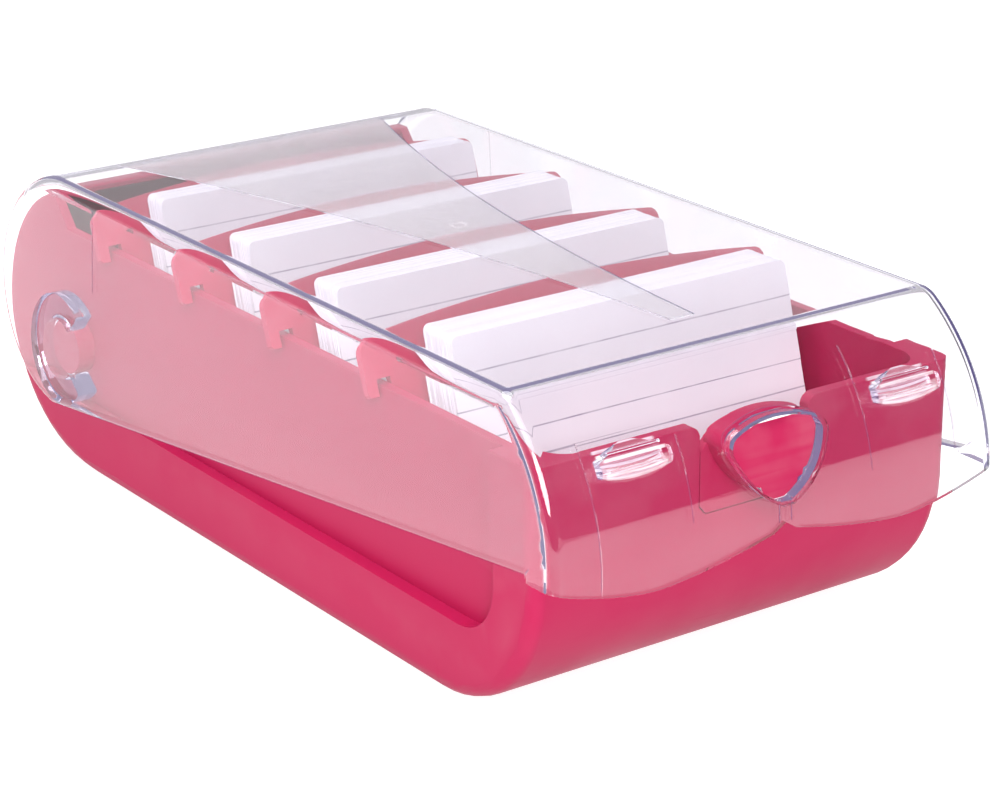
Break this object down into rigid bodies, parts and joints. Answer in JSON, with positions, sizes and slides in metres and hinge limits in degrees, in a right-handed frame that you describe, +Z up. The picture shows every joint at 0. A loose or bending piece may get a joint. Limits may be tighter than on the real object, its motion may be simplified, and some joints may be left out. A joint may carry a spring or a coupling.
{
  "type": "card index box",
  "caption": "Desk card index box: a tub with a push latch, a clear swing lid on side pivots, leaning dividers and packs of small ruled cards.",
  "frame": {"origin": "middle of the footprint, on the surface the box stands on", "axes": "+X across the box, -Y towards the front with the push latch, +Y towards the lid's pivot, +Z up"},
  "size_m": [0.1372, 0.2726, 0.084],
  "materials": {
    "tub_pink": "moulded, satin gloss",
    "divider_pink": "moulded, satin",
    "clear_plastic": "clear, polished",
    "satin_clear": "clear, satin etched",
    "card_white": "cut card edges",
    "ruled_card": "uncoated, ruled"
  },
  "bodies": {
    "base": {"tub": "tub_pink"},
    "latch": {"latch_tongue": "tub_pink"},
    "lid": {"lid_shell": "clear_plastic", "window_rim": "clear_plastic", "catch_left": "clear_plastic", "catch_right": "clear_plastic", "bearing_ring_left": "clear_plastic", "bearing_ring_right": "clear_plastic", "satin_panel": "satin_clear"},
    "divider_1": {"divider_1": "divider_pink"},
    "pack_1": {"card_pack_1": "card_white", "ruled_card_1": "ruled_card"},
    "divider_2": {"divider_2": "divider_pink"},
    "pack_2": {"card_pack_2": "card_white", "ruled_card_2": "ruled_card"},
    "divider_3": {"divider_3": "divider_pink"},
    "pack_3": {"card_pack_3": "card_white", "ruled_card_3": "ruled_card"},
    "divider_4": {"divider_4": "divider_pink"},
    "pack_4": {"card_pack_4": "card_white", "ruled_card_4": "ruled_card"}
  },
  "joints": [
    {"name": "lid_swing", "type": "hinge", "parent": "base", "child": "lid", "pos_m": [0, 0.09375, 0.036], "axis": [-1, 0, 0], "range_deg": [0, 90]},
    {"name": "latch_flex", "type": "hinge", "parent": "base", "child": "latch", "pos_m": [0, -0.1212, 0.0463], "axis": [-1, 0, 0], "range_deg": [0, 4], "stiffness_Nm_per_rad": 0.6},
    {"name": "divider_1_slide", "type": "slide", "parent": "base", "child": "divider_1", "axis": [0, 1, 0], "range_m": [0, 0.008]},
    {"name": "pack_1_slide", "type": "slide", "parent": "base", "child": "pack_1", "axis": [0, -1, 0], "range_m": [0, 0.006]},
    {"name": "divider_2_slide", "type": "slide", "parent": "base", "child": "divider_2", "axis": [0, 1, 0], "range_m": [0, 0.008]},
    {"name": "pack_2_slide", "type": "slide", "parent": "base", "child": "pack_2", "axis": [0, -1, 0], "range_m": [0, 0.006]},
    {"name": "divider_3_slide", "type": "slide", "parent": "base", "child": "divider_3", "axis": [0, 1, 0], "range_m": [0, 0.008]},
    {"name": "pack_3_slide", "type": "slide", "parent": "base", "child": "pack_3", "axis": [0, -1, 0], "range_m": [0, 0.006]},
    {"name": "divider_4_slide", "type": "slide", "parent": "base", "child": "divider_4", "axis": [0, 1, 0], "range_m": [0, 0.008]},
    {"name": "pack_4_slide", "type": "slide", "parent": "base", "child": "pack_4", "axis": [0, -1, 0], "range_m": [0, 0.006]}
  ]
}
